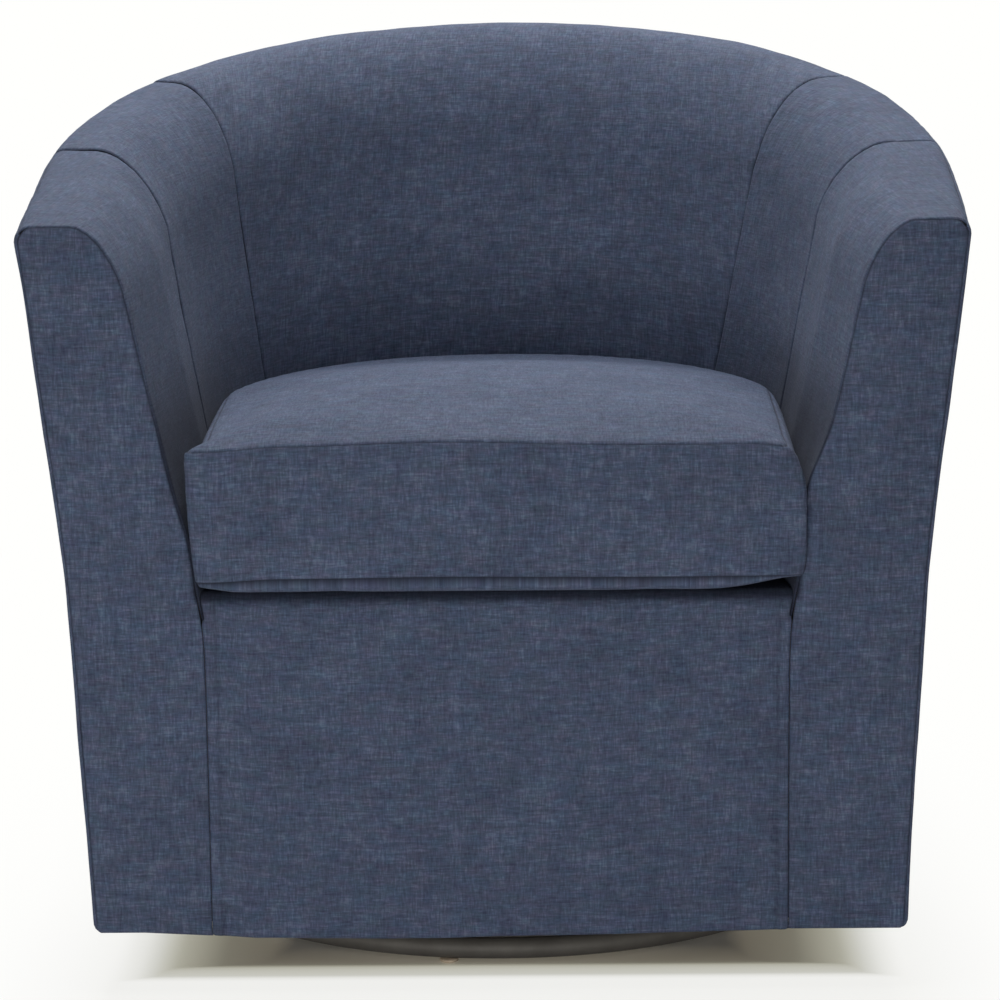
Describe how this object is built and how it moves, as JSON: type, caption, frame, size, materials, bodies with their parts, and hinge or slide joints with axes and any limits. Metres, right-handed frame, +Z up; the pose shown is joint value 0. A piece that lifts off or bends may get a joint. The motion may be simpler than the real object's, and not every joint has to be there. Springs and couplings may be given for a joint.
{
  "type": "swivel club chair",
  "caption": "Upholstered tub armchair with a curved back, sloping arms and a loose box cushion, which turns without a stop on a caged ball bearing over a round tube base.",
  "frame": {"origin": "on the floor under the middle of the chair's outline", "axes": "+Z up, the front of the chair faces -Y, +X to the right as seen from the front"},
  "size_m": [0.811, 0.769, 0.79],
  "materials": {
    "navy_cloth": "heathered navy plain weave with darker and paler slubs both ways",
    "foam": "cream polyurethane foam, matt",
    "wadding": "white polyester wadding, matt",
    "plywood": "unfinished plywood",
    "fibreboard": "brown hardboard",
    "dust_cloth": "black spunbond cloth",
    "bronze_enamel": "satin dark bronze enamel",
    "zinc_steel": "zinc plated",
    "spring_steel": "dark oiled wire",
    "glide_nylon": "beige nylon"
  },
  "bodies": {
    "base": {"base_ring": "bronze_enamel", "base_spider": "bronze_enamel", "glide_1": "glide_nylon", "glide_2": "glide_nylon", "glide_3": "glide_nylon", "glide_4": "glide_nylon", "lower_bearing_plate": "zinc_steel", "pivot_rivet": "zinc_steel"},
    "cage": {"ball_cage": "zinc_steel"},
    "seat": {"inside_back_cover": "navy_cloth", "wing_cover_left": "navy_cloth", "wing_cover_right": "navy_cloth", "inside_arm_cover_left": "navy_cloth", "inside_arm_cover_right": "navy_cloth", "outside_arm_cover_left": "navy_cloth", "outside_arm_cover_right": "navy_cloth", "outside_back_cover": "navy_cloth", "arm_front_cover_left": "navy_cloth", "arm_front_cover_right": "navy_cloth", "front_border_cover": "navy_cloth", "deck_cloth": "navy_cloth", "cushion_top_panel": "navy_cloth", "cushion_bottom_panel": "navy_cloth", "cushion_zip_band": "navy_cloth", "cushion_boxing": "navy_cloth", "inside_back_foam": "foam", "arm_foam_left": "foam", "arm_foam_right": "foam", "cushion_core": "foam", "arm_front_pad_left": "wadding", "arm_front_pad_right": "wadding", "deck_pad": "wadding", "arm_post_left": "plywood", "arm_post_right": "plywood", "front_apron": "plywood", "bottom_rail_left": "plywood", "bottom_rail_back": "plywood", "bottom_rail_right": "plywood", "top_rail_left": "plywood", "top_rail_back": "plywood", "top_rail_right": "plywood", "seat_back_rail": "plywood", "corner_rib_left": "plywood", "corner_rib_right": "plywood", "back_rib_left": "plywood", "back_rib_right": "plywood", "swivel_rail_front": "plywood", "swivel_rail_back": "plywood", "outer_board": "fibreboard", "seat_spring_1": "spring_steel", "seat_spring_2": "spring_steel", "seat_spring_3": "spring_steel", "seat_spring_4": "spring_steel", "dust_cover": "dust_cloth", "upper_bearing_plate": "zinc_steel", "plate_bolt_1": "zinc_steel", "plate_bolt_2": "zinc_steel", "plate_bolt_3": "zinc_steel", "plate_bolt_4": "zinc_steel"}
  },
  "joints": [
    {"name": "swivel", "type": "hinge", "parent": "base", "child": "seat", "pos_m": [0, 0.0125, 0.05], "axis": [0, 0, 1], "continuous": true},
    {"name": "cage_spin", "type": "hinge", "parent": "base", "child": "cage", "pos_m": [0, 0.0125, 0.05], "axis": [0, 0, 1], "continuous": true}
  ],
  "couplings": [
    {"joint": "cage_spin", "follows": "swivel", "ratio": 0.5}
  ]
}
